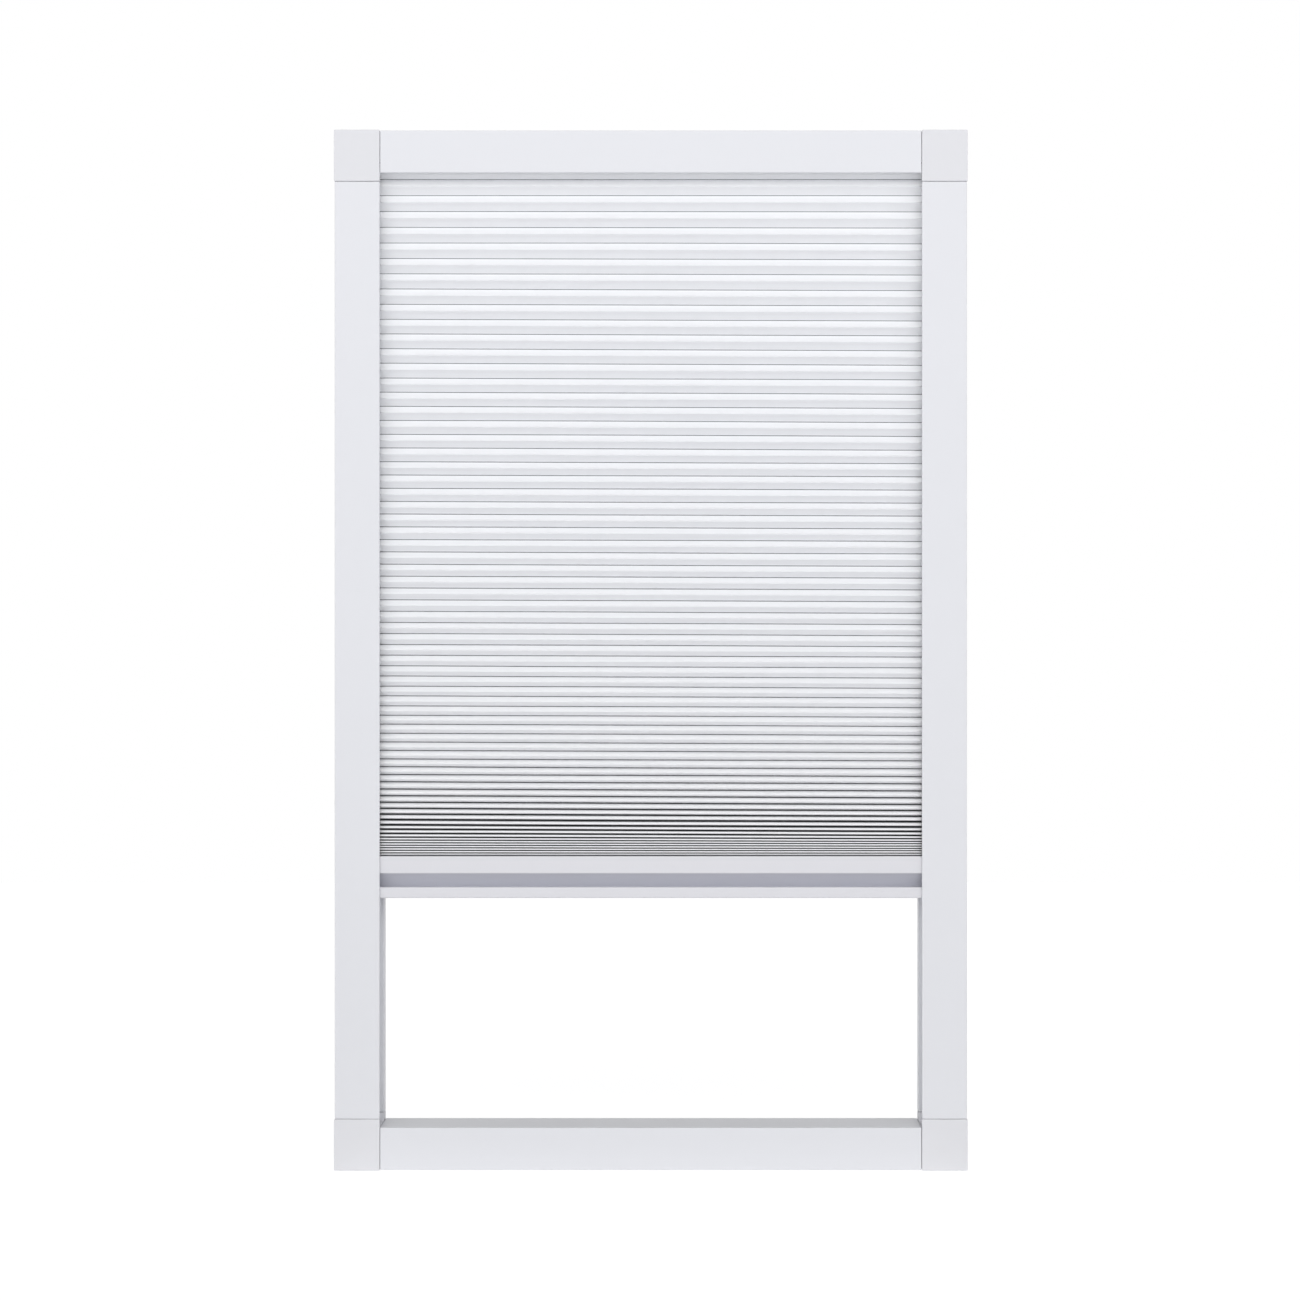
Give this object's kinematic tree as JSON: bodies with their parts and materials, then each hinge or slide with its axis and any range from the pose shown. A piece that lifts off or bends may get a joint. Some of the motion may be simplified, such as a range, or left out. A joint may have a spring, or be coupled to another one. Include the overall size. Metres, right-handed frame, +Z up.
{
  "type": "skylight window blind",
  "caption": "Framed skylight blind: a profile frame with moulded corner blocks, and honeycomb fabric hung from a hidden head rail to a sliding handle rail with a finger groove.",
  "frame": {"origin": "centre of the outer box over the corner blocks", "axes": "+X to the right as seen from the room, +Y through the blind towards the window, +Z up the blind towards the head rail"},
  "size_m": [0.61, 0.042, 1.002],
  "materials": {
    "frame_aluminium": "satin",
    "corner_moulding": "matte",
    "cell_fabric": "matte",
    "carriage_nylon": "satin",
    "fabric_strip": "satin",
    "friction_felt": "matte",
    "spring_steel": "satin",
    "screw_steel": "satin"
  },
  "bodies": {
    "frame": {"top_frame_rail": "frame_aluminium", "bottom_frame_rail": "frame_aluminium", "left_frame_stile": "frame_aluminium", "right_frame_stile": "frame_aluminium", "corner_block_top_left": "corner_moulding", "corner_block_top_right": "corner_moulding", "corner_block_bottom_left": "corner_moulding", "corner_block_bottom_right": "corner_moulding", "stile_screw_top_left": "screw_steel", "stile_screw_top_right": "screw_steel", "stile_screw_bottom_left": "screw_steel", "stile_screw_bottom_right": "screw_steel", "rail_screw_top_left": "screw_steel", "rail_screw_top_right": "screw_steel", "rail_screw_bottom_left": "screw_steel", "rail_screw_bottom_right": "screw_steel", "head_rail": "frame_aluminium", "head_rail_cap_left": "corner_moulding", "head_rail_cap_right": "corner_moulding", "head_rail_clip_1": "spring_steel", "head_rail_clip_2": "spring_steel", "head_rail_clip_3": "spring_steel", "clip_screw_1": "screw_steel", "clip_screw_2": "screw_steel", "clip_screw_3": "screw_steel", "head_fabric_strip": "fabric_strip", "honeycomb_fabric": "cell_fabric"},
    "moving_rail": {"handle_rail": "frame_aluminium", "handle_fabric_strip": "fabric_strip", "end_carriage_left": "carriage_nylon", "end_carriage_right": "carriage_nylon", "friction_pad_left": "friction_felt", "friction_pad_right": "friction_felt", "pad_spring_left": "spring_steel", "pad_spring_right": "spring_steel", "carriage_screw_left": "screw_steel", "carriage_screw_right": "screw_steel"}
  },
  "joints": [
    {"name": "rail_slide", "type": "slide", "parent": "frame", "child": "moving_rail", "axis": [0, 0, 1], "range_m": [-0.2202, 0.545], "deforming": ["honeycomb_fabric"]}
  ]
}
